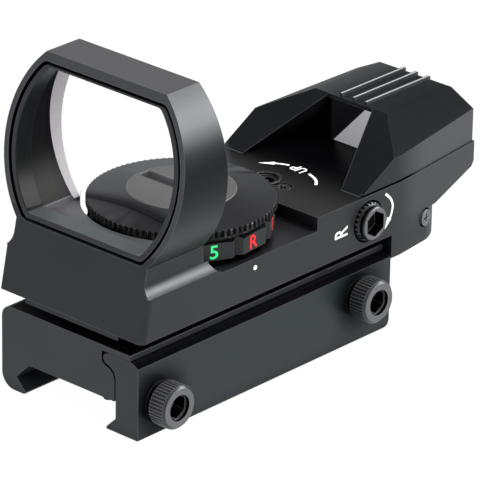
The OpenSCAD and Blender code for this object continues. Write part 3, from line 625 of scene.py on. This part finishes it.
def spring(name, node, axis, wire, r_mean, turns, mat, body, slot_name, end_radius=None):
    """A wire coil in place of a node's folded tube."""
    lo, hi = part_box(node)
    c = (lo + hi) / 2
    k = "XYZ".index(axis)
    pts = coil_path(hi[k] - lo[k], wire, r_mean, turns, end_radius)
    turn = Matrix.Identity(3) if axis == "Z" else Matrix.Rotation(math.pi / 2, 3, "Y")
    base = c.copy()
    base[k] = lo[k]
    pts = [base + turn @ p for p in pts]
    o = add_mesh(name, *tube(pts, wire), mat, body, slot_name, True)
    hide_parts(node)
    return o


HOLD_WIRE = 0.24 * MM
hold_lo, hold_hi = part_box("hold_down_spring")
HOLD_R = (hold_hi.x - hold_lo.x) / 2 - HOLD_WIRE * 1.2
hold = spring("coil_hold_down", "hold_down_spring", "Z", HOLD_WIRE, HOLD_R, 4.0, spring_mat, "sight",
              "spring_steel")
wind = spring("coil_windage", "windage_spring", "X", 0.28 * MM, 1.70 * MM, 6.0, spring_mat, "sight",
              "spring_steel")
detent = spring("coil_detent", "detent_spring", "Z", 0.09 * MM, 0.55 * MM, 4.0, spring_mat, "sight",
                "spring_steel")
spring("coil_contact", "contact_spring", "Z", 0.20 * MM, 1.75 * MM, 6.0, brass_mat, "dial_group",
       "contact_brass", 1.1 * MM)
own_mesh(hold)
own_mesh(wind)
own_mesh(detent)

# ---- printed marks -----------------------------------------------------------

INK = 0.03 * MM
white = paint("ink_white", (0.93, 0.93, 0.93))
red = paint("ink_red", (0.86, 0.02, 0.02))
green = paint("ink_green", (0.04, 0.80, 0.26))


def glyph(name, text, height, matrix, mat, body, bold=0.0, squeeze=1.0):
    """A printed character as a thin raised mesh; its baseline centre goes to matrix's origin."""
    cu = bpy.data.curves.new(name + "_c", "FONT")
    cu.body = text
    cu.align_x = "CENTER"
    cu.size = height / 0.73
    cu.offset = bold
    cu.extrude = INK / 2
    cu.resolution_u = 6
    tmp = bpy.data.objects.new(name + "_t", cu)
    bpy.context.scene.collection.objects.link(tmp)
    bpy.context.view_layer.update()
    me = bpy.data.meshes.new_from_object(tmp.evaluated_get(bpy.context.evaluated_depsgraph_get()))
    bpy.data.objects.remove(tmp)
    bpy.data.curves.remove(cu)
    me.transform(matrix @ Matrix.Diagonal((squeeze, 1, 1, 1)))
    me.materials.clear()
    me.materials.append(mat)
    o = bpy.data.objects.new(name, me)
    bpy.context.scene.collection.objects.link(o)
    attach(o, body)
    return o


def frame_matrix(origin, right, up):
    """Placement whose X is right, Y is up and Z points out of the surface."""
    right, up = Vector(right).normalized(), Vector(up).normalized()
    n = right.cross(up)
    m = Matrix((right, up, n)).transposed().to_4x4()
    m.translation = origin
    return m


def stroke(name, points, widths, surface):
    """A white printed line on the body; points and widths in mm, on a surface (right, up, origin)."""
    right, up, origin = surface
    n = Vector(right).cross(Vector(up)).normalized()
    pts = [Vector(origin) + Vector(right) * (a * MM) + Vector(up) * (b * MM) for a, b in points]
    verts, faces = [], []
    for h in (0.0, INK):
        for i, p in enumerate(pts):
            t = (pts[min(i + 1, len(pts) - 1)] - pts[max(i - 1, 0)]).normalized()
            half = n.cross(t) * (widths[i] * MM) / 2
            base = p + n * h
            verts += [base - half, base + half]
    m = 2 * len(pts)
    for i in range(len(pts) - 1):
        a = 2 * i
        faces.append((a + m, a + 2 + m, a + 3 + m, a + 1 + m))
        faces.append((a, a + 2, a + 2 + m, a + m))
        faces.append((a + 1, a + 1 + m, a + 3 + m, a + 3))
        faces.append((a, a + 1, a + 3, a + 2))
    faces.append((0, m, m + 1, 1))
    faces.append((m - 2, m - 1, 2 * m - 1, 2 * m - 2))
    return add_mesh(name, verts, faces, white, "sight", "anodised_black")


def smooth_line(points, n=24):
    """Catmull-Rom points through a few anchors."""
    p = [Vector(points[0])] + [Vector(q) for q in points] + [Vector(points[-1])]
    out = []
    seg = len(points) - 1
    for i in range(seg):
        a, b, c, d = p[i:i + 4]
        for k in range(n):
            t = k / n
            out.append(0.5 * ((2 * b) + (c - a) * t + (2 * a - 5 * b + 4 * c - d) * t * t
                              + (3 * b - a - 3 * c + d) * t ** 3))
    out.append(Vector(points[-1]))
    return [(q.x, q.y) for q in out]


# dial characters: two settings letters and two runs of five numbers
LABELS = ["R", "1", "2", "3", "4", "5", "G", "1", "2", "3", "4", "5"]
REDS = 6                                           # the first six are red, the rest green
DIGIT_H = 2.3 * MM
MARK_SHIFT = 0.45 * MM                             # marks sit a little off each pad's middle
PAD_LO = 18.0 * MM
PAD_HI = 21.0 * MM
for i, label in enumerate(LABELS):
    turn = Matrix.Rotation(math.radians(i * 360 / POSITIONS + PAD_TURN), 4, "Z")
    spot = Vector((PAD_R + INK * 0.7, -MARK_SHIFT, (PAD_LO + PAD_HI - DIGIT_H) / 2))
    local = frame_matrix(spot, (0, 1, 0), (0, 0, 1))
    place = Matrix.Translation((DIAL_C.x, DIAL_C.y, 0)) @ turn @ local
    ink = red if i < REDS else green
    glyph("dial_mark_%02d" % i, label, DIGIT_H, place, ink, "dial_group",
          bold=0.045 * MM, squeeze=1.06)

# index dot on the side: y, z and radius
DOT = (26.2 * MM, 15.35 * MM, 0.4 * MM)
DOT_N = 28
dot_turns = [2 * math.pi * k / DOT_N for k in range(DOT_N)]
ring = [(DOT[2] * math.cos(t), DOT[2] * math.sin(t)) for t in dot_turns]
dot_verts = [Vector((SIDE_X + h, DOT[0] + a, DOT[1] + b)) for h in (0.0, INK) for a, b in ring]
dot_faces = [tuple(range(DOT_N, 2 * DOT_N))]
dot_faces += [(k, (k + 1) % DOT_N, (k + 1) % DOT_N + DOT_N, k + DOT_N) for k in range(DOT_N)]
add_mesh("index_dot", dot_verts, dot_faces, white, "sight", "anodised_black")

LINE_W = 0.42                                      # widths of printed lines and arrow heads, mm
HEAD = [1.1, 0.02]
ON_SIDE = ((0, 1, 0), (0, 0, 1), (SIDE_X, 0, 0))
ON_DECK = ((1, 0, 0), (0, 1, 0), (0, 0, DECK_Z))

# curved arrow and letter beside the windage screw, on the +X side
side_pts = smooth_line([(56.6, 18.2), (57.85, 17.0), (58.4, 15.7), (58.15, 14.4), (57.75, 13.6)], 10)
stroke("windage_arc", side_pts, [LINE_W] * len(side_pts), ON_SIDE)
stroke("windage_arrow", [(57.65, 13.75), (56.6, 12.1)], HEAD, ON_SIDE)
letter_at = frame_matrix(Vector((SIDE_X + INK / 2, 47.6 * MM, 14.7 * MM)), (0, 0, 1), (0, -1, 0))
glyph("windage_letter", "R", 3.1 * MM, letter_at, white, "sight",
      bold=0.05 * MM, squeeze=0.68)

# arrow and letters behind the elevation screw, on the deck
line_pts = smooth_line([(-4.2, 51.75), (-3.0, 52.4), (-1.9, 52.8)], 8)
stroke("elevation_line", line_pts, [LINE_W] * len(line_pts), ON_DECK)
stroke("elevation_arrow", [(-4.1, 51.8), (-6.1, 50.1)], HEAD, ON_DECK)
arc_pts = smooth_line([(2.65, 52.4), (4.4, 51.7), (5.5, 50.9), (6.3, 49.9)], 10)
stroke("elevation_arc", arc_pts, [LINE_W * 1.1] * len(arc_pts), ON_DECK)
letters_at = frame_matrix(Vector((0.35 * MM, 53.6 * MM, DECK_Z + INK / 2)), (-1, 0.12, 0), (-0.12, -1, 0))
glyph("elevation_letters", "UP", 2.0 * MM, letters_at, white, "sight",
      bold=0.03 * MM, squeeze=0.85)

# ---- stage -------------------------------------------------------------------

scene = bpy.context.scene
scene.view_settings.view_transform = "Standard"


def make_floor(z):
    """White to the camera with a faint contact shadow; to reflections, brighter seen steeply."""
    s = Shader("pale_floor")
    path = s("ShaderNodeLightPath")
    seen = s("ShaderNodeEmission", Color=rgb(1, 1, 1), Strength=0.975)
    lit = s("ShaderNodeBsdfDiffuse", Color=rgb(0.06, 0.06, 0.06))
    pale = s("ShaderNodeAddShader", i0=seen, i1=lit)
    incoming = s("ShaderNodeNewGeometry").outputs["Incoming"]
    steep = s("ShaderNodeSeparateXYZ", i0=incoming).outputs["Z"]
    mirrored = s("ShaderNodeEmission", Color=rgb(0.93, 0.97, 1.0),
                 Strength=s.ramp(steep, 0.05, 0.75, 0.30, 0.75, True))
    shader = s("ShaderNodeMixShader", i0=path.outputs["Is Camera Ray"], i1=mirrored, i2=pale)
    mat = s.surface(shader)
    me = bpy.data.meshes.new("floor")
    r = 6.0
    me.from_pydata([(-r, -r, z), (r, -r, z), (r, r, z), (-r, r, z)], [], [(0, 1, 2, 3)])
    me.materials.append(mat)
    o = bpy.data.objects.new("floor", me)
    scene.collection.objects.link(o)


BANK = Vector((0.58, 0.64, 0.50))                  # middle of the bright bank, right and behind
BANK_LEVEL = 8.0


def make_world():
    """White to the camera, soft grey light, and to reflections a bright bank and a pale left horizon."""
    w = bpy.data.worlds.new("studio")
    scene.world = w
    w.use_nodes = True
    t = w.node_tree
    t.nodes.clear()
    s = Shader.__new__(Shader)
    s.tree = t
    out = t.nodes.new("ShaderNodeOutputWorld")
    way = s("ShaderNodeTexCoord").outputs["Generated"]
    d = s("ShaderNodeSeparateXYZ", i0=way).outputs
    path = s("ShaderNodeLightPath").outputs
    near = s("ShaderNodeVectorMath", {"operation": "DOT_PRODUCT"}, i0=way, i1=tuple(BANK.normalized()))
    bank = s.both(s.ramp(near.outputs["Value"], 0.80, 0.92, 0.0, BANK_LEVEL, True),
                  s.ease(d["Z"], 0.12, 0.34), s.ramp(d["Z"], 0.56, 0.68, 1.0, 0.0, True))
    left_back = s.both(s.ease(d["Y"], -0.2, 0.6), s.ease(d["X"], 0.3, -0.3))
    horizon = s.both(left_back, s.ramp(d["Z"], 0.05, 0.5, 0.9, 0.0, True))
    level = s.math("ADD", s.math("ADD", horizon, bank), 0.12)
    mirrored = s("ShaderNodeBackground", Color=rgb(0.95, 0.97, 1.0), Strength=level)
    soft = s("ShaderNodeBackground", Color=rgb(0.96, 0.98, 1.0), Strength=0.35)
    plain = s("ShaderNodeBackground", Color=rgb(1, 1, 1), Strength=1.0)
    light = s("ShaderNodeMixShader", i0=path["Is Glossy Ray"], i1=soft, i2=mirrored)
    m = s("ShaderNodeMixShader", i0=path["Is Camera Ray"], i1=light, i2=plain)
    t.links.new(m.outputs[0], out.inputs["Surface"])


def area(name, direction, power, distance=0.9, size=0.5):
    """Soft square lamp aimed at the object, kept out of reflections."""
    d = Vector(direction).normalized()
    li = bpy.data.lights.new(name, "AREA")
    li.shape = "SQUARE"
    li.size = size
    li.energy = power
    o = bpy.data.objects.new(name, li)
    scene.collection.objects.link(o)
    target = Vector((0, 0.04, 0.015))
    o.location = target + d * distance
    o.rotation_mode = "QUATERNION"
    o.rotation_quaternion = (-d).to_track_quat("-Z", "Y")
    o.visible_glossy = False


FLOOR_GAP = 0.2 * MM                               # the floor lies this far under the object
make_floor(cad_box[0].z - FLOOR_GAP)
make_world()
area("key", (0.35, 0.30, 0.9), 9.0)
area("side", (0.95, -0.1, 0.25), 4.0)
area("front", (-0.2, -0.95, 0.25), 6.5)

a, e = math.radians(AZIMUTH), math.radians(ELEVATION)
back = Vector((math.sin(a) * math.cos(e), -math.cos(a) * math.cos(e), math.sin(e)))
level_right = Vector((math.cos(a), math.sin(a), 0))
level_up = back.cross(level_right)
r = math.radians(ROLL)
right = level_right * math.cos(r) + level_up * math.sin(r)
up = back.cross(right)
cam_data = bpy.data.cameras.new("camera")
cam_data.lens = LENS
cam_data.sensor_width = 36.0
cam_data.clip_start, cam_data.clip_end = 0.05, 20.0
cam = bpy.data.objects.new("camera", cam_data)
scene.collection.objects.link(cam)
cam.matrix_world = Matrix((right, up, back)).transposed().to_4x4()
cam.location = AIM + back * DISTANCE
scene.camera = cam
